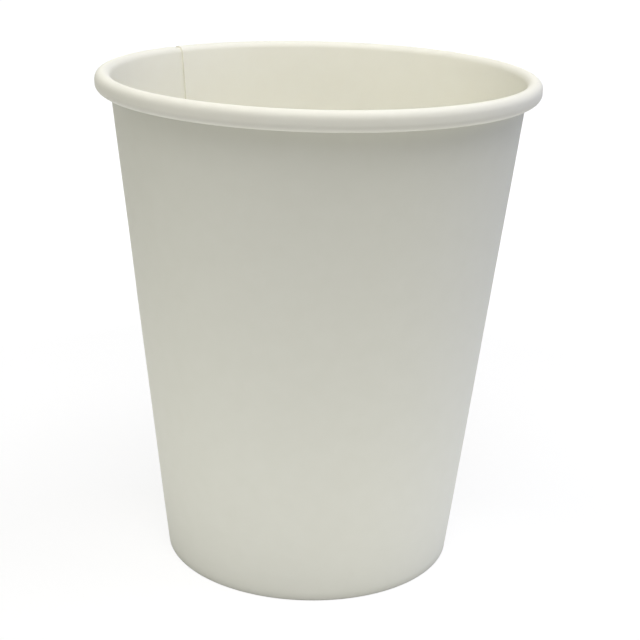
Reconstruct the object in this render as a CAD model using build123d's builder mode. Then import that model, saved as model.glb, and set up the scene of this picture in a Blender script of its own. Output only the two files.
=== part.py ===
"""Single-wall paper coffee cup, 80 mm across its rolled rim.

A fan-shaped paperboard blank is wrapped into a cone and lapped down one side.
Its top edge is rolled outwards and its bottom edge is folded inwards.
The fold grips the turned-down skirt of a round base disc.
Millimetres, +Z up, origin on the table at the axis of the cup.
"""

import os
from math import asin, atan2, cos, degrees, radians, sin

from build123d import *

# Overall size
rim_diameter = 80.0  # across the outside of the rolled rim
cup_height = 92.0  # table to the top of the rolled rim
foot_diameter = 54.5  # across the outside of the foot at the table

# Paperboard
wall_board = 0.30  # side wall, with its coating
base_board = 0.26  # base disc, with its coating
seal_film = 0.03  # clearance taken up by the melted coating in a sealed joint

# Rolled rim
roll_core = 0.15  # free radius left in the heart of the roll, at the lap
roll_slack = 0.05  # room between the tucked edge and the wall, at the lap
roll_side = 0.70  # upright outer side of the roll, which a lid grips
tuck_turn = 25.0  # how far the tucked edge turns past upright

# Foot
base_recess = 7.0  # table to the underside of the base disc
base_bend = 0.40  # inside radius of the bend from disc to skirt
hem_height = 6.0  # table to the edge of the folded hem
press_height = 8.5  # table to the top of the band pressed by the crimp
press_depth = 0.06  # how far that band is pressed inwards at the table

# Side seam
seam_azimuth = 136.2  # direction of the inner cut edge, counter-clockwise from +X
lap_width = 7.0  # overlap of the two ends, measured at the mouth
jog_width = 2.0  # length over which the outer end steps back in line

# Crimp marks on the inner face of the hem
crimp_count = 60
crimp_depth = 0.12
crimp_width = 1.2
crimp_length = 3.6
crimp_middle = 3.2  # table to the middle of the marks

# Section of the roll, around the centre of its top bend
rim_radius = rim_diameter / 2
foot_radius = foot_diameter / 2
tuck_radius = roll_core + 2 * wall_board
roll_radius = tuck_radius + 2 * wall_board + roll_slack
roll_r = rim_radius - roll_radius
roll_z = cup_height - roll_radius

# Wall: its outer face runs straight from the pressed band to the top bend of the roll
wall_start = Vector(foot_radius + press_depth, 0)
roll_run = Vector(roll_r, roll_z) - wall_start
lean = atan2(roll_run.X, roll_run.Y) - asin((roll_radius - wall_board) / roll_run.length)
wall_up = Vector(sin(lean), cos(lean))
wall_out = Vector(cos(lean), -sin(lean))

# Pressed band: its outer face runs from the table to the wall
band_top = wall_start + wall_up * (press_height / cos(lean))
band_lean = atan2(band_top.X - foot_radius, band_top.Y)
band_angle = degrees(band_lean)
band_up = Vector(sin(band_lean), cos(band_lean))
band_out = Vector(cos(band_lean), -sin(band_lean))
mitre = (wall_out + band_out) / (1 + wall_out.dot(band_out))

# Fold around the lower edge of the skirt, creased sharp on its inside
fold_gap = base_board + 2 * seal_film
wall_crease = Vector(foot_radius - wall_board * (1 - sin(band_lean)) / cos(band_lean), wall_board)
hem_crease = wall_crease - Vector(fold_gap / cos(band_lean), 0)
hem_length = (hem_height - wall_board) / cos(band_lean)
hem_face = hem_crease - band_out * wall_board
crimp_point = hem_face + band_up * ((crimp_middle - hem_face.Y) / cos(band_lean))
crimp_plane = Plane((crimp_point.X, 0, crimp_point.Y), x_dir=(0, 1, 0), z_dir=(band_up.X, 0, band_up.Y))

# Seam angles, from the mouth's size
mouth_radius = roll_r - roll_radius * cos(lean)
lap_angle = degrees(lap_width / mouth_radius)
jog_angle = degrees(jog_width / mouth_radius)
outer_edge_azimuth = seam_azimuth - lap_angle
jog_end_azimuth = seam_azimuth + jog_angle


def section_plane(azimuth):
    """Upright plane through the axis, with x pointing outwards along the azimuth."""
    angle = radians(azimuth)
    return Plane((0, 0, 0), x_dir=(cos(angle), sin(angle), 0), z_dir=(sin(angle), -cos(angle), 0))


def band_point(depth, height):
    """Point of the pressed band at a depth from its inner face and a height over the table."""
    start = wall_crease + band_out * depth
    return start + band_up * ((height - start.Y) / cos(band_lean))


def board_line(depth, lift):
    """Line along the board from hem to tucked edge, lifted outwards above the fold."""
    level = depth + lift
    down = Vector(0, depth)
    hem_foot = hem_crease - band_out * depth
    hem = Line(hem_foot + band_up * hem_length, hem_foot)
    flat = Line(hem_crease - down, wall_crease - down)
    band = Line(wall_crease + band_out * depth, band_top + mitre * (level - wall_board))
    if depth > 0:
        JernArc(hem @ 1, hem % 1, depth, 90 + band_angle)
        JernArc(flat @ 1, flat % 1, depth, 90 - band_angle)
    wall = Line(band @ 1, Vector(roll_r, roll_z) - wall_out * (roll_radius - level))
    top = JernArc(wall @ 1, wall % 1, roll_radius - level, degrees(lean) - 180)
    side = Line(top @ 1, (top @ 1) - Vector(0, roll_side))
    under = JernArc(side @ 1, side % 1, roll_radius - level, -90)
    tuck = JernArc(under @ 1, under % 1, tuck_radius - level, -90 - tuck_turn)
    return hem @ 0, tuck @ 1


def board_outline(inner_lift, thickness, outer_lift):
    """Closed outline of the board between two lines along it."""
    inner_start, inner_end = board_line(0, inner_lift)
    outer_start, outer_end = board_line(thickness, outer_lift)
    Line(inner_start, outer_start)
    Line(inner_end, outer_end)


# Side wall: one wrapped blank with its lap, rolled rim and folded hem
with BuildPart() as side_wall:
    with BuildSketch(section_plane(jog_end_azimuth)):
        with BuildLine():
            board_outline(0, wall_board, 0)
        make_face()
    revolve(axis=Axis.Z, revolution_arc=360 - jog_angle - lap_angle)
    with BuildSketch(section_plane(outer_edge_azimuth)):
        with BuildLine():
            board_outline(0, wall_board, wall_board)
        make_face()
    revolve(axis=Axis.Z, revolution_arc=lap_angle)
    with BuildSketch(section_plane(seam_azimuth)):
        with BuildLine():
            board_outline(wall_board, wall_board, wall_board)
        make_face()
    with BuildSketch(section_plane(jog_end_azimuth)):
        with BuildLine():
            board_outline(0, wall_board, 0)
        make_face()
    loft(ruled=True)
    with BuildSketch(crimp_plane):
        with BuildLine():
            Polyline((-crimp_width, crimp_depth), (0, -crimp_depth), (crimp_width, crimp_depth), close=True)
        make_face()
    groove = extrude(amount=crimp_length / 2, both=True, mode=Mode.PRIVATE)
    with PolarLocations(0, crimp_count):
        add(groove, mode=Mode.SUBTRACT)
side_wall.part.label = "side_wall"

# Base disc: flat disc with a bend and a skirt that sits in the fold
skirt_edge = wall_board + seal_film
base_top = base_recess + base_board
with BuildPart() as base_disc:
    with BuildSketch(Plane.XZ):
        with BuildLine():
            Polyline(
                (0, base_recess),
                band_point(-seal_film - base_board, base_recess),
                band_point(-seal_film - base_board, skirt_edge),
                band_point(-seal_film, skirt_edge),
                band_point(-seal_film, base_top),
                (0, base_top),
                close=True,
            )
        disc_face = make_face()
        corners = disc_face.vertices().filter_by_position(Axis.X, foot_radius / 2, rim_radius)
        fillet(corners.group_by(Axis.Y)[-1], base_bend + base_board)
        fillet(corners.group_by(Axis.Y)[-2], base_bend)
    revolve(axis=Axis.Z)
base_disc.part.label = "base_disc"

os.makedirs("parts", exist_ok=True)
export_step(side_wall.part, "parts/side_wall.step")
export_step(base_disc.part, "parts/base_disc.step")
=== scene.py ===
"""Plain white paper coffee cup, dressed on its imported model.

Two pieces of paperboard stand for the two CAD nodes. One Geometry Nodes tree wraps a section of
board round the axis of the cup: the side wall with its lap, rolled rim and folded hem, and the
base disc with its skirt. Laid out as an add-on and run as a script. Metres, +Z up.
"""

import math
from typing import NamedTuple

import bpy
from bpy.props import FloatProperty, FloatVectorProperty, IntProperty, PointerProperty
from mathutils import Matrix, Vector


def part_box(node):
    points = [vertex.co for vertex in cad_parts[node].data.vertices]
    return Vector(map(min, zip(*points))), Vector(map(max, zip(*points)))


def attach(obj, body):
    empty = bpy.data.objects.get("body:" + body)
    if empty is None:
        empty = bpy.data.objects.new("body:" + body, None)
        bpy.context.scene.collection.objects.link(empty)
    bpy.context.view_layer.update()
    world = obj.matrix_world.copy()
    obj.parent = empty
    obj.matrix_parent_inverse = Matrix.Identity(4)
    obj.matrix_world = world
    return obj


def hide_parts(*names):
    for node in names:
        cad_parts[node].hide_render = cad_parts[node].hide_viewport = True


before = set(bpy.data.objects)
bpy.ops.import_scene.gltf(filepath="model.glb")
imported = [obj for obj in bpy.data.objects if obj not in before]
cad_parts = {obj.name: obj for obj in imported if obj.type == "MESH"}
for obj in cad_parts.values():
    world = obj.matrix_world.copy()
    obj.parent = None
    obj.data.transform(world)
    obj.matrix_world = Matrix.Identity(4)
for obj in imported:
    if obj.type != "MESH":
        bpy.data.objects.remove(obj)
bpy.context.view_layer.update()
WALL_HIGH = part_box("side_wall")[1]
BASE_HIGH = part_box("base_disc")[1]

bl_info = {
    "name": "Paper coffee cup",
    "version": (1, 0, 0),
    "blender": (4, 5, 0),
    "location": "3D View > Sidebar > Paper cup",
    "description": "Builds a single-wall paper cup from its two boards",
    "category": "Object",
}

BODY = "root"
MM = 0.001
DOWN = -math.pi / 2
WHITE = "#FFFFFF"
IMAGE_WIDTH = 640  # pixels

# Points round the cup, about one every half degree
WALL_POINTS = 742
BASE_POINTS = 721

# Steps along the section of the side wall
HEM_STEPS = 12
FOLD_STEPS = 4
BAND_STEPS = 5
WALL_STEPS = 12
ROLL_TOP_STEPS = 12
ROLL_UNDER_STEPS = 8
TUCK_STEPS = 8

# Steps along the section of the base disc
DISC_STEPS = 14
BEND_STEPS = 6
SKIRT_STEPS = 5

# Joints of the mesh
SAME_POINT = 1e-9
WELD_DISTANCE = 1e-7
CRISP_ANGLE = math.radians(40)  # a sharper edge than this stays crisp

# Mean of the coated values of a face's points, past which it counts as all or none coated
ALL_COATED = 0.9
NONE_COATED = 0.1

# Usual range of the noise that makes the swells
SWELL_LOW = 0.25
SWELL_HIGH = 0.75

# Side wall
FOOT_LIFT = 0.05  # share of the lap's lift that is left in the pressed fold
LAP_FILM = 0.2  # share of the seal film that is left between the layers of the lap
MARK_FADE = 0.5 * MM  # run-out at both ends of a crimp mark
STIFF_FOOT = 0.3  # share of the wall over which the waver grows from the foot
STIFF_RIM = 0.7  # share of the wall from which the roll stiffens it
RIM_WAVER = 0.4  # share of the waver that is left in the roll
WALL_SEED = 4.0

# Base disc
PLEATS_FROM = 0.93  # share of the disc's radius where the pleats start
SKIRT_PLEATS = 0.4  # share of the pleats' depth that is left in the skirt
DISC_STIFF = (0.6, 0.95)  # shares of the disc's radius between which the waver dies away
BASE_SEED = 9.0

# Patterns of the board
CLOUD_SIZE = 3.5 * MM  # thinner and thicker clouds of fibres
FIBRE_SIZE = 0.4 * MM  # fibres are about 0.03 mm wide: drawn coarser, so that they show
RIPPLE_SIZE = 0.8 * MM  # unevenness of the melted film
STREAK_SIZE = 0.3 * MM  # torn fibres on a cut edge, drawn coarser, so that they show

# Floor
FLOOR_REACH = 4.0
FLOOR_GREY = "#8A8A8A"  # takes the shadow
FLOOR_GLOW = 0.8  # lifts that grey to white out of the shadow

# Lamps: name, azimuth and elevation in degrees, watts, colour
LAMP_DISTANCE = 0.8
LAMP_WIDTH = 0.5
LAMPS = (
    ("overhead", 0, 75, 1.3, WHITE),
    ("front_high", 0, 60, 2.25, "#FBFBFF"),
    ("front_low", 0, 20, 0.8, "#FFFCEC"),
    ("right_high", 90, 60, 2.2, WHITE),
    ("right_back", 110, 15, 0.8, "#A8B8FF"),
    ("left_high", -90, 60, 0.5, "#FFFCEE"),
    ("left", -90, 30, 1.1, "#FFFDEF"),
)


def srgb(code, alpha=None):
    """Linear colour of an sRGB hex code, with an alpha where a socket needs one."""
    parts = [int(code[k:k + 2], 16) / 255 for k in (1, 3, 5)]
    linear = [p / 12.92 if p <= 0.04045 else ((p + 0.055) / 1.055) ** 2.4 for p in parts]
    return (*linear, alpha) if alpha is not None else tuple(linear)


def add_node(tree, kind, links=None, **settings):
    """Adds a node, sets its settings, and links or fills the inputs named in links."""
    node = tree.nodes.new(kind)
    for name, value in settings.items():
        setattr(node, name, value)
    for key, value in (links or {}).items():
        if isinstance(value, bpy.types.NodeSocket):
            tree.links.new(value, node.inputs[key])
        else:
            node.inputs[key].default_value = value
    return node


def length(name, description, default):
    """Length property with its default in millimetres."""
    return FloatProperty(
        name=name, description=description, default=default * MM, min=0, precision=5, unit="LENGTH")


def angle(name, description, default):
    """Angle property with its default in degrees."""
    return FloatProperty(
        name=name, description=description, default=math.radians(default), subtype="ANGLE")


def colour(name, description, code):
    """Colour property with its default as an sRGB hex code."""
    return FloatVectorProperty(
        name=name, description=description, default=srgb(code), min=0, max=1, size=3,
        subtype="COLOR")


class CupSizes(bpy.types.PropertyGroup):
    """Sizes of the cup and its two boards."""

    rim_diameter: length(
        "Rim diameter", "Across the outside of the rolled rim", round(2 * WALL_HIGH.x / MM, 1))
    cup_height: length(
        "Height", "Table to the top of the rolled rim", round(WALL_HIGH.z / MM, 1))
    foot_diameter: length("Foot diameter", "Across the outside of the foot at the table", 54.5)
    wall_board: length("Wall board", "Thickness of the side wall's board", 0.30)
    base_board: length("Base board", "Thickness of the base disc's board", 0.26)
    seal_film: length("Seal film", "Gap left for the melted coating in a sealed joint", 0.03)
    roll_core: length("Roll core", "Free radius in the heart of the rim's roll", 0.15)
    roll_slack: length("Roll slack", "Room between the tucked edge and the wall", 0.05)
    roll_side: length("Roll side", "Upright outer side of the roll, which a lid grips", 0.70)
    tuck_turn: angle("Tuck turn", "How far the tucked edge turns past upright", 25.0)
    base_top: length(
        "Base top", "Table to the top face of the base disc", round(BASE_HIGH.z / MM, 2))
    base_bend: length("Base bend", "Inside radius of the bend from disc to skirt", 0.40)
    base_sag: length("Base sag", "How far the middle of the base disc hangs down", 0.25)
    hem_height: length("Hem height", "Table to the edge of the folded hem", 6.0)
    press_height: length(
        "Pressed band", "Table to the top of the band that the crimp presses", 8.5)
    press_depth: length("Press depth", "How far that band is pressed inwards at the table", 0.06)
    seam_azimuth: angle("Seam direction", "Direction of the inner cut edge, from +X", 136.2)
    lap_width: length("Lap width", "Overlap of the two ends of the blank at the mouth", 7.0)
    jog_width: length("Jog width", "Length over which the outer end steps back in line", 2.0)
    crimp_count: IntProperty(
        name="Crimp marks", description="Marks pressed into the hem's inner face",
        default=60, min=1)
    crimp_depth: length("Crimp depth", "Depth of each mark", 0.18)
    crimp_width: length("Crimp width", "Width of each mark", 1.2)
    crimp_length: length("Crimp length", "Height of each mark", 3.6)
    crimp_middle: length("Crimp middle", "Table to the middle of the marks", 3.2)
    pleat_count: IntProperty(
        name="Pleats", description="Fine pleats where the base disc bends to its skirt",
        default=90, min=1)
    pleat_depth: length("Pleat depth", "Depth of those pleats", 0.05)
    waver: length("Waver", "How far the free board strays from its true shape", 0.05)
    waver_size: length("Waver size", "Size of those shallow swells", 30.0)


class CupPaper(bpy.types.PropertyGroup):
    """Colours of the paperboard."""

    bare_face: colour("Bare face", "Uncoated outside of the board", "#F3F3E8")
    bare_cloud: colour(
        "Bare face cloud", "Thinner clouds in the fibres of the bare face", "#EFEFE3")
    # Painted light in part: the coated colours are lighter than the bare ones, which brightens the
    # inside of the cup where the lamps leave it too dark
    coated_face: colour("Coated face", "Inside of the board under its clear film", "#FBFAEF")
    coated_cloud: colour(
        "Coated face cloud", "Thinner clouds in the fibres under the film", "#F9F7EB")
    cut_edge: colour("Cut edge", "Raw fibres on a cut edge", "#F4F2E6")
    cut_shade: colour("Cut edge shade", "Deeper fibres on a cut edge", "#EDEADD")


class CupStage(bpy.types.PropertyGroup):
    """Camera, floor and light."""

    view_distance: length("Camera distance", "Camera to the point that it aims at", 278.5)
    view_height: length("Aim height", "Height of the point that the camera aims at", 46.0)
    view_elevation: angle("Camera elevation", "Camera above the horizon", 18.305)
    view_roll: angle("Camera roll", "Tilt of the camera about its line of sight", 1.493)
    view_focus: FloatProperty(
        name="Focal length", description="Focal length in pixels of the image",
        default=1468.9, min=1)
    view_shift: FloatVectorProperty(
        name="Camera shift", description="Shift of the frame as a share of its width",
        default=(0.01139, -0.00994), size=2)
    light_level: FloatProperty(
        name="Light level", description="Brightness of all the lamps together",
        default=1.0, min=0)
    surroundings: colour("Surroundings", "Colour of the room's own faint light", "#181818")
    floor_light: FloatProperty(
        name="Floor light", description="How brightly the white floor round the cup lights it",
        default=1.08, min=0)
    # Painted shade: the foot, contact and shade settings below turn the floor's glow down round the
    # foot and in a thin line at the foot, which darkens the foot of the cup
    foot_light: FloatProperty(
        name="Foot light", description="The same in the shade at the foot",
        default=0.49, min=0)
    contact_light: FloatProperty(
        name="Contact light",
        description="Share of the foot light left where the foot meets the floor",
        default=0.4, min=0, max=1)
    contact_reach: length(
        "Contact reach", "Width of the dark line where the foot meets the floor", 0.4)
    shade_shift: length("Shade shift", "How far the shade at the foot lies to the left", 8.0)
    shade_reach: length(
        "Shade reach", "Middle of the shade at the foot to where it ends", 60.0)
    white_reach: length(
        "White reach", "Axis of the cup to where the white floor starts to darken", 130.0)
    table_reach: length(
        "Table reach", "Axis of the cup to where the floor gives no more light", 230.0)


def from_aim(azimuth, elevation):
    """Unit vector from the aim to a camera or lamp; azimuth 0 is the front."""
    flat = math.cos(elevation)
    return Vector((math.sin(azimuth) * flat, -math.cos(azimuth) * flat, math.sin(elevation)))


def lerp(first, last, share):
    """Point or value between two others."""
    return first + (last - first) * share


def direction(turn):
    """Unit vector in the section plane, counter-clockwise from outwards."""
    return Vector((math.cos(turn), math.sin(turn)))


def steps(count, first=0):
    """Shares up to 1 in even steps, from 0 or from a later step."""
    return [k / count for k in range(first, count + 1)]


def ease(low, high, value):
    """Smooth step from 0 at low to 1 at high."""
    share = min(max((value - low) / (high - low), 0), 1)
    return share * share * (3 - 2 * share)


class Station(NamedTuple):
    """Place along the board, with what the wrap does to the board there."""

    place: Vector  # point of the coated face, as radius and height
    way: Vector  # from there to the bare face, per thickness of board
    lift: float = 0  # share of the lap's lift
    mark: float = 0  # share of the pressed marks
    free: float = 0  # share of the waver


class WallLines:
    """Lines and angles of the side wall's section, in the plane of radius and height."""

    def __init__(self, sizes):
        board = sizes.wall_board
        foot = sizes.foot_diameter / 2
        rim = Vector((sizes.rim_diameter / 2, sizes.cup_height))
        self.tuck_radius = sizes.roll_core + 2 * board
        self.roll_radius = self.tuck_radius + 2 * board + sizes.roll_slack
        self.roll = rim - Vector((1, 1)) * self.roll_radius
        start = Vector((foot + sizes.press_depth, 0))
        run = self.roll - start
        self.lean = math.atan2(run.x, run.y) - math.asin((self.roll_radius - board) / run.length)
        self.wall_out = direction(-self.lean)
        wall_up = direction(math.pi / 2 - self.lean)
        self.band_top = start + wall_up * (sizes.press_height / math.cos(self.lean))
        self.band_lean = math.atan2(self.band_top.x - foot, self.band_top.y)
        self.band_up = direction(math.pi / 2 - self.band_lean)
        self.band_out = direction(-self.band_lean)
        self.mitre = (self.wall_out + self.band_out) / (1 + self.wall_out.dot(self.band_out))
        inset = board * (1 - math.sin(self.band_lean)) / math.cos(self.band_lean)
        gap = (sizes.base_board + 2 * sizes.seal_film) / math.cos(self.band_lean)
        self.wall_crease = Vector((foot - inset, board))
        self.hem_crease = self.wall_crease - Vector((gap, 0))
        self.hem_length = (sizes.hem_height - board) / math.cos(self.band_lean)
        self.mouth_radius = self.roll.x - self.roll_radius * math.cos(self.lean)

    def band_point(self, depth, height):
        """Point of the pressed band at a depth from its inner face and a height over the table."""
        start = self.wall_crease + self.band_out * depth
        return start + self.band_up * ((height - start.y) / math.cos(self.band_lean))


def wall_stations(sizes):
    """Stations along the wall's board from the hem's edge to the tucked edge."""
    lines = WallLines(sizes)
    half_mark = sizes.crimp_length / 2
    hem_edge = lines.hem_crease + lines.band_up * lines.hem_length
    stations = []
    for share in steps(HEM_STEPS):
        place = lerp(hem_edge, lines.hem_crease, share)
        off_mark = abs(place.y - sizes.crimp_middle)
        mark = 1 - ease(half_mark - MARK_FADE, half_mark, off_mark)
        stations.append(Station(place, -lines.band_out, FOOT_LIFT, mark))
    for share in steps(FOLD_STEPS, 1):
        way = direction(lerp(-lines.band_lean - math.pi, DOWN, share))
        stations.append(Station(lines.hem_crease, way, FOOT_LIFT))
    for share in steps(FOLD_STEPS):
        way = direction(lerp(DOWN, -lines.band_lean, share))
        stations.append(Station(lines.wall_crease, way, FOOT_LIFT))
    band_end = lines.band_top - lines.mitre * sizes.wall_board
    for share in steps(BAND_STEPS, 1):
        way = lines.mitre if share == 1 else lines.band_out
        place = lerp(lines.wall_crease, band_end, share)
        stations.append(Station(place, way, ease(0, 1, share)))
    wall_end = lines.roll - lines.wall_out * lines.roll_radius
    for share in steps(WALL_STEPS, 1):
        place = lerp(band_end, wall_end, share)
        stiffened = lerp(1, RIM_WAVER, ease(STIFF_RIM, 1, share))
        free = ease(0, STIFF_FOOT, share) * stiffened
        stations.append(Station(place, lines.wall_out, lift=1, free=free))
    for share in steps(ROLL_TOP_STEPS, 1):
        out = direction(lerp(math.pi - lines.lean, 0, share))
        place = lines.roll + out * lines.roll_radius
        stations.append(Station(place, -out, lift=1, free=RIM_WAVER))
    low = lines.roll - Vector((0, sizes.roll_side))
    for share in steps(ROLL_UNDER_STEPS):
        out = direction(lerp(0, DOWN, share))
        stations.append(Station(low + out * lines.roll_radius, -out, lift=1, free=RIM_WAVER))
    heart = low + Vector((0, lines.tuck_radius - lines.roll_radius))
    for share in steps(TUCK_STEPS, 1):
        out = direction(lerp(DOWN, 2 * DOWN - sizes.tuck_turn, share))
        stations.append(Station(heart + out * lines.tuck_radius, -out, lift=1, free=RIM_WAVER))
    return stations


def base_stations(sizes):
    """Stations along the base disc's board from its centre to the edge of its skirt."""
    lines = WallLines(sizes)
    outer_bend = sizes.base_bend + sizes.base_board
    corner = lines.band_point(-sizes.seal_film, sizes.base_top)
    back = outer_bend * math.tan((math.pi / 2 - lines.band_lean) / 2)
    bend = corner - Vector((back, outer_bend))
    stations = []
    for share in steps(DISC_STEPS):
        sag = sizes.base_sag * (1 - ease(0, 1, share))
        place = Vector((bend.x * share, sizes.base_top - sag))
        pleats = ease(PLEATS_FROM, 1, share)
        free = 1 - ease(*DISC_STIFF, share)
        stations.append(Station(place, Vector((0, -1)), mark=pleats, free=free))
    for share in steps(BEND_STEPS, 1):
        out = direction(lerp(math.pi / 2, -lines.band_lean, share))
        stations.append(Station(bend + out * outer_bend, -out, mark=1))
    skirt_top = stations[-1].place
    skirt_end = lines.band_point(-sizes.seal_film, sizes.wall_board + sizes.seal_film)
    for share in steps(SKIRT_STEPS, 1):
        place = lerp(skirt_top, skirt_end, share)
        stations.append(Station(place, -lines.band_out, mark=SKIRT_PLEATS))
    return stations


def section_mesh(name, stations, board, marks_on_coated, closed):
    """Mesh line down the coated face and back up the bare face, with its values as attributes."""
    points = []
    for station in stations:
        if not points or (station.place - points[-1][0]).length > SAME_POINT:
            points.append((station.place, station, marks_on_coated, 1.0))
    for station in reversed(stations):
        points.append((station.place + station.way * board, station, not marks_on_coated, 0.0))
    edges = [(k, k + 1) for k in range(len(points) - 1)]
    if closed:
        edges.append((len(points) - 1, 0))
    mesh = bpy.data.meshes.new(name)
    mesh.from_pydata([(place.x, 0, place.y) for place, *_ in points], edges, [])
    carried = {
        "lift": [station.way * station.lift for _, station, _, _ in points],
        "mark": [station.way * -station.mark * marked for _, station, marked, _ in points],
        "free": [station.way * station.free for _, station, _, _ in points],
    }
    for label, vectors in carried.items():
        layer = mesh.attributes.new(label, "FLOAT_VECTOR", "POINT")
        for item, vector in zip(layer.data, vectors):
            item.vector = (vector.x, 0, vector.y)
    layer = mesh.attributes.new("coated", "FLOAT", "POINT")
    for item, (*_, coated) in zip(layer.data, points):
        item.value = coated
    return mesh


WRAP_INPUTS = (
    ("Start", "NodeSocketFloat"),
    ("Sweep", "NodeSocketFloat"),
    ("Steps", "NodeSocketInt"),
    ("Lift", "NodeSocketFloat"),
    ("Lap End", "NodeSocketFloat"),
    ("Jog End", "NodeSocketFloat"),
    ("Mark Count", "NodeSocketInt"),
    ("Mark Share", "NodeSocketFloat"),
    ("Mark Depth", "NodeSocketFloat"),
    ("Waver", "NodeSocketFloat"),
    ("Waver Size", "NodeSocketFloat"),
    ("Seed", "NodeSocketFloat"),
    ("Cut Ends", "NodeSocketBool"),
    ("Coated Face", "NodeSocketMaterial"),
    ("Bare Face", "NodeSocketMaterial"),
    ("Cut Edge", "NodeSocketMaterial"),
)
HELPERS = ("place", "turn", "lift", "mark", "free", "coated")


def round_axis(tree, point, cosine, sine):
    """Point of the section plane, taken round the axis of the cup."""
    parts = add_node(tree, "ShaderNodeSeparateXYZ", {0: point}).outputs
    across, along = (
        add_node(tree, "ShaderNodeMath", {0: parts["X"], 1: share}, operation="MULTIPLY").outputs[0]
        for share in (cosine, sine))
    return add_node(
        tree, "ShaderNodeCombineXYZ", {0: across, 1: along, 2: parts["Z"]}).outputs[0]


def wrap_tree():
    """Tree that wraps a section of board round the cup's axis, with its lap, marks and waver."""
    tree = bpy.data.node_groups.new("wrap_board", "GeometryNodeTree")
    tree.interface.new_socket("Section", in_out="INPUT", socket_type="NodeSocketGeometry")
    for name, kind in WRAP_INPUTS:
        tree.interface.new_socket(name, in_out="INPUT", socket_type=kind)
    tree.interface.new_socket("Board", in_out="OUTPUT", socket_type="NodeSocketGeometry")
    given = add_node(tree, "NodeGroupInput").outputs

    # Rail: one straight line whose points know how far round the cup they stand
    line = add_node(tree, "GeometryNodeCurvePrimitiveLine", {"End": (1, 0, 0)})
    rail = add_node(
        tree, "GeometryNodeResampleCurve", {"Curve": line.outputs[0], "Count": given["Steps"]})
    factor = add_node(tree, "GeometryNodeSplineParameter").outputs["Factor"]
    turned = add_node(
        tree, "ShaderNodeMath", {0: factor, 1: given["Sweep"], 2: given["Start"]},
        operation="MULTIPLY_ADD")
    rail = add_node(
        tree, "GeometryNodeStoreNamedAttribute",
        {"Geometry": rail.outputs[0], "Name": "turn", "Value": turned.outputs[0]})

    # Section: its points keep their own radius and height
    profile = add_node(tree, "GeometryNodeMeshToCurve", {"Mesh": given["Section"]})
    profile = add_node(
        tree, "GeometryNodeStoreNamedAttribute",
        {"Geometry": profile.outputs[0], "Name": "place",
         "Value": add_node(tree, "GeometryNodeInputPosition").outputs[0]},
        data_type="FLOAT_VECTOR")
    sheet = add_node(
        tree, "GeometryNodeCurveToMesh",
        {"Curve": rail.outputs[0], "Profile Curve": profile.outputs[0],
         "Fill Caps": given["Cut Ends"]})

    # Carried values
    turn = add_node(
        tree, "GeometryNodeInputNamedAttribute", {"Name": "turn"}).outputs["Attribute"]
    place, lift, mark, free = (
        add_node(
            tree, "GeometryNodeInputNamedAttribute", {"Name": name}, data_type="FLOAT_VECTOR"
        ).outputs["Attribute"]
        for name in ("place", "lift", "mark", "free"))
    cosine = add_node(tree, "ShaderNodeMath", {0: turn}, operation="COSINE").outputs[0]
    sine = add_node(tree, "ShaderNodeMath", {0: turn}, operation="SINE").outputs[0]

    # Lap: the outer end lies lifted on the inner end and steps back in line past it
    lapped = add_node(
        tree, "ShaderNodeMapRange",
        {"Value": turn, "From Min": given["Lap End"], "From Max": given["Jog End"],
         "To Min": given["Lift"], "To Max": 0.0},
        interpolation_type="SMOOTHSTEP").outputs[0]

    # Marks: even grooves round the cup
    half_marks = add_node(
        tree, "ShaderNodeMath", {0: given["Mark Count"], 1: math.pi},
        operation="DIVIDE").outputs[0]
    phase = add_node(
        tree, "ShaderNodeMath", {0: turn, 1: half_marks}, operation="MULTIPLY").outputs[0]
    phase = add_node(tree, "ShaderNodeMath", {0: phase, 1: 1.0}, operation="PINGPONG").outputs[0]
    groove = add_node(
        tree, "ShaderNodeMapRange",
        {"Value": phase, "From Min": 0.0, "From Max": given["Mark Share"],
         "To Min": given["Mark Depth"], "To Max": 0.0}).outputs[0]

    # Waver: both faces and both layers of the lap stray alike, because they share one place
    fineness = add_node(
        tree, "ShaderNodeMath", {0: 1.0, 1: given["Waver Size"]}, operation="DIVIDE").outputs[0]
    swells = add_node(
        tree, "ShaderNodeTexNoise",
        {"Vector": round_axis(tree, place, cosine, sine), "W": given["Seed"],
         "Scale": fineness, "Detail": 1.0},
        noise_dimensions="4D").outputs[0]
    inwards = add_node(
        tree, "ShaderNodeMath", {0: given["Waver"], 1: -1.0}, operation="MULTIPLY").outputs[0]
    stray = add_node(
        tree, "ShaderNodeMapRange",
        {"Value": swells, "From Min": SWELL_LOW, "From Max": SWELL_HIGH,
         "To Min": inwards, "To Max": given["Waver"]}).outputs[0]

    # Wrap: each value moves the board along its own vector, and the result goes round the axis
    moved = place
    for vector, amount in ((lift, lapped), (mark, groove), (free, stray)):
        move = add_node(
            tree, "ShaderNodeVectorMath", {0: vector, "Scale": amount}, operation="SCALE")
        moved = add_node(tree, "ShaderNodeVectorMath", {0: moved, 1: move.outputs[0]}).outputs[0]
    wrapped = round_axis(tree, moved, cosine, sine)
    board = add_node(
        tree, "GeometryNodeSetPosition",
        {"Geometry": sheet.outputs[0], "Position": wrapped}).outputs[0]
    board = add_node(
        tree, "GeometryNodeMergeByDistance",
        {"Geometry": board, "Distance": WELD_DISTANCE}).outputs[0]

    # Shading: smooth, but crisp at the cut edges
    bend = add_node(tree, "GeometryNodeInputMeshEdgeAngle").outputs["Unsigned Angle"]
    round_edge = add_node(
        tree, "FunctionNodeCompare", {0: bend, 1: CRISP_ANGLE},
        data_type="FLOAT", operation="LESS_THAN").outputs[0]
    board = add_node(
        tree, "GeometryNodeSetShadeSmooth", {"Geometry": board, "Shade Smooth": round_edge},
        domain="EDGE").outputs[0]

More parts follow.
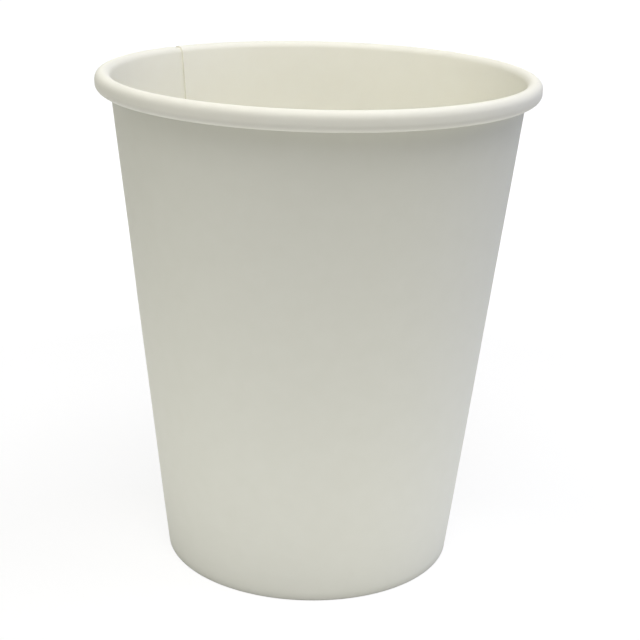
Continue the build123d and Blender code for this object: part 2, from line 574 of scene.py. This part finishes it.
    # Finish: a face with all points coated is the inside, with none the outside, else a cut edge
    board = add_node(tree, "GeometryNodeRealizeInstances", {"Geometry": board}).outputs[0]
    coated = add_node(
        tree, "GeometryNodeInputNamedAttribute", {"Name": "coated"}).outputs["Attribute"]
    inside = add_node(
        tree, "FunctionNodeCompare", {0: coated, 1: ALL_COATED},
        data_type="FLOAT", operation="GREATER_THAN").outputs[0]
    outside = add_node(
        tree, "FunctionNodeCompare", {0: coated, 1: NONE_COATED},
        data_type="FLOAT", operation="LESS_THAN").outputs[0]
    for selection, finish in ((True, "Cut Edge"), (inside, "Coated Face"), (outside, "Bare Face")):
        board = add_node(
            tree, "GeometryNodeSetMaterial",
            {"Geometry": board, "Selection": selection, "Material": given[finish]}).outputs[0]
    add_node(tree, "NodeGroupOutput", {0: board})
    return tree


def wrap_board(name, mesh, values):
    """Wraps a section mesh round the axis and leaves a plain mesh object."""
    piece = bpy.data.objects.new(name, mesh)
    bpy.context.scene.collection.objects.link(piece)
    tree = bpy.data.node_groups.get("wrap_board") or wrap_tree()
    modifier = piece.modifiers.new("wrap", "NODES")
    modifier.node_group = tree
    for item in tree.interface.items_tree:
        if item.in_out == "INPUT" and item.name in values:
            modifier[item.identifier] = values[item.name]
    depsgraph = bpy.context.evaluated_depsgraph_get()
    wrapped = bpy.data.meshes.new_from_object(
        piece.evaluated_get(depsgraph), preserve_all_data_layers=True, depsgraph=depsgraph)
    piece.modifiers.clear()
    piece.data = wrapped
    wrapped.name = name
    bpy.data.meshes.remove(mesh)
    for helper in HELPERS:
        layer = wrapped.attributes.get(helper)
        if layer:
            wrapped.attributes.remove(layer)
    return piece


def board_material(name, shade, tint, size, detail):
    """New board whose colour drifts from a shade to a tint; also its coordinates and pattern."""
    material = bpy.data.materials.new(name)
    material.use_nodes = True
    tree = material.node_tree
    spot = add_node(tree, "ShaderNodeTexCoord").outputs["Object"]
    pattern = add_node(
        tree, "ShaderNodeTexNoise",
        {"Vector": spot, "Scale": 1 / size, "Detail": detail}).outputs[0]
    drift = add_node(
        tree, "ShaderNodeMix", {"Factor": pattern, "A": (*shade, 1), "B": (*tint, 1)},
        data_type="RGBA")
    shader = tree.nodes["Principled BSDF"]
    tree.links.new(drift.outputs["Result"], shader.inputs["Base Color"])
    return material, spot, pattern


def bare_board(name, paper):
    """Bleached cup board, bare face: uncoated and calendered.

    Matt and even, with faint clouds where the fibres lie thinner and a fine felt of fibres.
    """
    material, spot, _ = board_material(
        name, paper.bare_cloud, paper.bare_face, CLOUD_SIZE, detail=3.0)
    tree = material.node_tree
    shader = tree.nodes["Principled BSDF"]
    fibres = add_node(
        tree, "ShaderNodeTexNoise",
        {"Vector": spot, "Scale": 1 / FIBRE_SIZE, "Detail": 2.0, "Roughness": 0.6}).outputs[0]
    relief = add_node(
        tree, "ShaderNodeBump", {"Height": fibres, "Strength": 0.35, "Distance": 0.02 * MM})
    tree.links.new(relief.outputs[0], shader.inputs["Normal"])
    roughness = add_node(
        tree, "ShaderNodeMapRange", {"Value": fibres, "To Min": 0.62, "To Max": 0.78})
    tree.links.new(roughness.outputs[0], shader.inputs["Roughness"])
    shader.inputs["IOR"].default_value = 1.47
    shader.inputs["Specular IOR Level"].default_value = 0.25
    return material


def coated_board(name, paper):
    """Bleached cup board, coated face: a clear film of plastic melted on to the fibres.

    A little creamier and smoother than the bare face, with a soft satin gloss. Its colours are also
    lighter than the bare face's. That is partly the coated board's own tone and partly painted
    light that brightens the inside of the cup.
    """
    material, spot, _ = board_material(
        name, paper.coated_cloud, paper.coated_face, CLOUD_SIZE, detail=3.0)
    tree = material.node_tree
    shader = tree.nodes["Principled BSDF"]
    ripple = add_node(
        tree, "ShaderNodeTexNoise",
        {"Vector": spot, "Scale": 1 / RIPPLE_SIZE, "Detail": 1.0}).outputs[0]
    relief = add_node(
        tree, "ShaderNodeBump", {"Height": ripple, "Strength": 0.25, "Distance": 0.02 * MM})
    tree.links.new(relief.outputs[0], shader.inputs["Normal"])
    roughness = add_node(
        tree, "ShaderNodeMapRange", {"Value": ripple, "To Min": 0.48, "To Max": 0.60})
    tree.links.new(roughness.outputs[0], shader.inputs["Roughness"])
    shader.inputs["IOR"].default_value = 1.50
    shader.inputs["Specular IOR Level"].default_value = 0.15
    return material


def cut_board(name, paper):
    """Bleached cup board, cut edge: raw fibres where the blank was punched out.

    Rough and a little darker than the faces, with short streaks.
    """
    material, _, streaks = board_material(
        name, paper.cut_shade, paper.cut_edge, STREAK_SIZE, detail=2.0)
    tree = material.node_tree
    shader = tree.nodes["Principled BSDF"]
    relief = add_node(
        tree, "ShaderNodeBump", {"Height": streaks, "Strength": 0.5, "Distance": 0.03 * MM})
    tree.links.new(relief.outputs[0], shader.inputs["Normal"])
    shader.inputs["Roughness"].default_value = 0.9
    shader.inputs["Specular IOR Level"].default_value = 0.2
    return material


FINISHES = {
    "Coated Face": ("Bleached cup board, coated face", coated_board),
    "Bare Face": ("Bleached cup board, bare face", bare_board),
    "Cut Edge": ("Bleached cup board, cut edge", cut_board),
}


def finishes(paper):
    """The wrap's three material inputs; both pieces share the materials."""
    return {
        face: bpy.data.materials.get(name) or make(name, paper)
        for face, (name, make) in FINISHES.items()}


def seen_rays(tree):
    """1 for rays that show a surface, straight or in gloss or glass, and 0 for light on others."""
    ray = add_node(tree, "ShaderNodeLightPath").outputs
    seen = ray["Is Camera Ray"]
    for other in ("Is Glossy Ray", "Is Transmission Ray"):
        seen = add_node(
            tree, "ShaderNodeMath", {0: seen, 1: ray[other]}, operation="MAXIMUM").outputs[0]
    return seen


def floor_paint(stage):
    """Matt white studio floor: the eye sees it white, with the cup's soft shadow.

    For the light on the cup it glows as a lit white floor does, with the cup's shade painted into
    the glow. It is weaker round the foot, a little more so to the left, and weakest in a painted
    dark line where the foot meets it. It gives nothing far away. From below it is clear.
    """
    material = bpy.data.materials.new("Matt white studio floor")
    material.use_nodes = True
    tree = material.node_tree
    tree.nodes.clear()
    spot = add_node(tree, "ShaderNodeTexCoord").outputs["Object"]
    away = add_node(tree, "ShaderNodeVectorMath", {0: spot}, operation="LENGTH").outputs["Value"]
    beyond = add_node(
        tree, "ShaderNodeMapRange",
        {"Value": away, "From Min": stage.white_reach, "From Max": stage.table_reach}).outputs[0]

    # Light on the cup: the floor's glow, with a painted shade round the foot and a painted dark
    # line where the foot meets the floor
    foot = BASE_HIGH.x
    shaded = add_node(
        tree, "ShaderNodeVectorMath", {0: spot, 1: (stage.shade_shift, 0, 0)}).outputs[0]
    shaded = add_node(
        tree, "ShaderNodeVectorMath", {0: shaded}, operation="LENGTH").outputs["Value"]
    strength = add_node(
        tree, "ShaderNodeMapRange",
        {"Value": shaded, "From Min": foot - stage.shade_shift, "From Max": stage.shade_reach,
         "To Min": stage.foot_light, "To Max": stage.floor_light}).outputs[0]
    contact = add_node(
        tree, "ShaderNodeMapRange",
        {"Value": away, "From Min": foot, "From Max": foot + stage.contact_reach,
         "To Min": stage.contact_light}).outputs[0]
    near = add_node(tree, "ShaderNodeMath", {0: 1.0, 1: beyond}, operation="SUBTRACT").outputs[0]
    for share in (near, contact):
        strength = add_node(
            tree, "ShaderNodeMath", {0: strength, 1: share}, operation="MULTIPLY").outputs[0]
    thrown = add_node(tree, "ShaderNodeEmission", {"Color": srgb(WHITE, 1), "Strength": strength})

    # White with a shadow for the eye
    paint = add_node(tree, "ShaderNodeBsdfDiffuse", {"Color": srgb(FLOOR_GREY, 1)})
    bright = add_node(
        tree, "ShaderNodeMapRange",
        {"Value": beyond, "To Min": FLOOR_GLOW, "To Max": 1.0}).outputs[0]
    glow = add_node(tree, "ShaderNodeEmission", {"Color": srgb(WHITE, 1), "Strength": bright})
    shown = add_node(tree, "ShaderNodeAddShader", {0: paint.outputs[0], 1: glow.outputs[0]})

    mixed = add_node(
        tree, "ShaderNodeMixShader",
        {0: seen_rays(tree), 1: thrown.outputs[0], 2: shown.outputs[0]})
    under = add_node(tree, "ShaderNodeNewGeometry").outputs["Backfacing"]
    clear = add_node(tree, "ShaderNodeBsdfTransparent")
    mixed = add_node(
        tree, "ShaderNodeMixShader", {0: under, 1: mixed.outputs[0], 2: clear.outputs[0]})
    add_node(tree, "ShaderNodeOutputMaterial", {"Surface": mixed.outputs[0]})
    return material


def lay_floor(scene, stage):
    """Lays the floor that the cup stands on."""
    reach = FLOOR_REACH
    corners = [(-reach, -reach, 0), (reach, -reach, 0), (reach, reach, 0), (-reach, reach, 0)]
    mesh = bpy.data.meshes.new("floor")
    mesh.from_pydata(corners, [], [(0, 1, 2, 3)])
    mesh.materials.append(floor_paint(stage))
    floor = bpy.data.objects.new("floor", mesh)
    scene.collection.objects.link(floor)


def paint_room(scene, stage):
    """Paints the room: white where it is seen, and faint in the light that it gives."""
    world = bpy.data.worlds.new("white_room")
    world.use_nodes = True
    scene.world = world
    tree = world.node_tree
    tree.nodes.clear()
    room = add_node(tree, "ShaderNodeBackground", {"Color": (*stage.surroundings, 1)})
    white = add_node(tree, "ShaderNodeBackground", {"Color": srgb(WHITE, 1)})
    mixed = add_node(
        tree, "ShaderNodeMixShader",
        {0: seen_rays(tree), 1: room.outputs[0], 2: white.outputs[0]})
    add_node(tree, "ShaderNodeOutputWorld", {"Surface": mixed.outputs[0]})


def hang_lamps(scene, stage, aim):
    """Hangs the soft lamps round the cup, each turned to the aim."""
    for name, azimuth, elevation, power, tone in LAMPS:
        lamp = bpy.data.lights.new(name, "AREA")
        lamp.size = LAMP_WIDTH
        lamp.energy = power * stage.light_level
        lamp.color = srgb(tone)
        holder = bpy.data.objects.new(name, lamp)
        away = from_aim(math.radians(azimuth), math.radians(elevation))
        turned = away.to_track_quat("Z", "Y").to_matrix().to_4x4()
        holder.matrix_world = Matrix.Translation(aim + away * LAMP_DISTANCE) @ turned
        holder.visible_camera = False
        scene.collection.objects.link(holder)


def set_camera(scene, stage, aim):
    """Sets the camera at the photograph's viewing angle."""
    lens = bpy.data.cameras.new("camera")
    lens.sensor_fit = "HORIZONTAL"
    lens.lens = stage.view_focus / IMAGE_WIDTH * lens.sensor_width
    lens.shift_x, lens.shift_y = stage.view_shift
    lens.clip_start = 0.01
    camera = bpy.data.objects.new("camera", lens)
    camera.matrix_world = (
        Matrix.Translation(aim + from_aim(0, stage.view_elevation) * stage.view_distance)
        @ Matrix.Rotation(math.pi / 2 - stage.view_elevation, 4, "X")
        @ Matrix.Rotation(stage.view_roll, 4, "Z"))
    scene.collection.objects.link(camera)
    scene.camera = camera


class PAPERCUP_OT_side_wall(bpy.types.Operator):
    """Wrap the side wall with its lap, rolled rim and crimped hem"""

    bl_idname = "papercup.side_wall"
    bl_label = "Side wall"

    def execute(self, context):
        sizes = context.scene.cup_sizes
        lines = WallLines(sizes)
        lap = sizes.lap_width / lines.mouth_radius
        jog = sizes.jog_width / lines.mouth_radius
        crimp_pitch = 2 * math.pi * lines.hem_crease.x / sizes.crimp_count
        mesh = section_mesh(
            "wall_section", wall_stations(sizes), sizes.wall_board,
            marks_on_coated=False, closed=True)
        piece = wrap_board("side_wall_board", mesh, {
            "Start": sizes.seam_azimuth - lap,
            "Sweep": 2 * math.pi + lap,
            "Steps": WALL_POINTS,
            "Lift": sizes.wall_board + LAP_FILM * sizes.seal_film,
            "Lap End": sizes.seam_azimuth,
            "Jog End": sizes.seam_azimuth + jog,
            "Mark Count": sizes.crimp_count,
            "Mark Share": sizes.crimp_width / crimp_pitch,
            "Mark Depth": sizes.crimp_depth,
            "Waver": sizes.waver,
            "Waver Size": sizes.waver_size,
            "Seed": WALL_SEED,
            "Cut Ends": True,
            **finishes(context.scene.cup_paper),
        })
        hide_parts("side_wall")
        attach(piece, BODY)
        return {"FINISHED"}


class PAPERCUP_OT_base_disc(bpy.types.Operator):
    """Turn the base disc with its bend and skirt"""

    bl_idname = "papercup.base_disc"
    bl_label = "Base disc"

    def execute(self, context):
        sizes = context.scene.cup_sizes
        mesh = section_mesh(
            "base_section", base_stations(sizes), sizes.base_board,
            marks_on_coated=True, closed=False)
        piece = wrap_board("base_disc_board", mesh, {
            "Start": 0.0,
            "Sweep": 2 * math.pi,
            "Steps": BASE_POINTS,
            "Lift": 0.0,  # one closed round without a lap
            "Lap End": 0.0,
            "Jog End": 1.0,
            "Mark Count": sizes.pleat_count,
            "Mark Share": 1.0,  # pleats lie side by side
            "Mark Depth": sizes.pleat_depth,
            "Waver": sizes.waver,
            "Waver Size": sizes.waver_size / 2,  # the disc is smaller than the wall
            "Seed": BASE_SEED,
            "Cut Ends": False,
            **finishes(context.scene.cup_paper),
        })
        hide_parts("base_disc")
        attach(piece, BODY)
        return {"FINISHED"}


class PAPERCUP_OT_stage(bpy.types.Operator):
    """Lay the floor, paint the room, hang the lamps and set the camera"""

    bl_idname = "papercup.stage"
    bl_label = "Floor, light and camera"

    def execute(self, context):
        scene = context.scene
        stage = scene.cup_stage
        aim = Vector((0, 0, stage.view_height))
        scene.view_settings.view_transform = "Standard"
        lay_floor(scene, stage)
        paint_room(scene, stage)
        hang_lamps(scene, stage, aim)
        set_camera(scene, stage, aim)
        return {"FINISHED"}


class PAPERCUP_PT_tools(bpy.types.Panel):
    """Paper cup tools in the sidebar"""

    bl_idname = "PAPERCUP_PT_tools"
    bl_label = "Paper cup"
    bl_space_type = "VIEW_3D"
    bl_region_type = "UI"
    bl_category = "Paper cup"

    def draw(self, context):
        for setting in GROUPS:
            group = getattr(context.scene, setting)
            column = self.layout.column(align=True)
            for name in group.bl_rna.properties.keys():
                if name not in ("rna_type", "name"):
                    column.prop(group, name)
        for operator in OPERATORS:
            self.layout.operator(operator.bl_idname)


GROUPS = {"cup_sizes": CupSizes, "cup_paper": CupPaper, "cup_stage": CupStage}
OPERATORS = (PAPERCUP_OT_side_wall, PAPERCUP_OT_base_disc, PAPERCUP_OT_stage)


def register():
    """Registers the classes and hangs the settings on the scene."""
    for item in (*GROUPS.values(), *OPERATORS, PAPERCUP_PT_tools):
        bpy.utils.register_class(item)
    for name, group in GROUPS.items():
        setattr(bpy.types.Scene, name, PointerProperty(type=group))


def unregister():
    """Takes the settings and the classes away again."""
    for name in GROUPS:
        delattr(bpy.types.Scene, name)
    for item in (PAPERCUP_PT_tools, *reversed(OPERATORS), *reversed(GROUPS.values())):
        bpy.utils.unregister_class(item)


def main():
    """Builds the cup and its stage."""
    register()
    bpy.ops.papercup.side_wall()
    bpy.ops.papercup.base_disc()
    bpy.ops.papercup.stage()


if __name__ == "__main__":
    main()
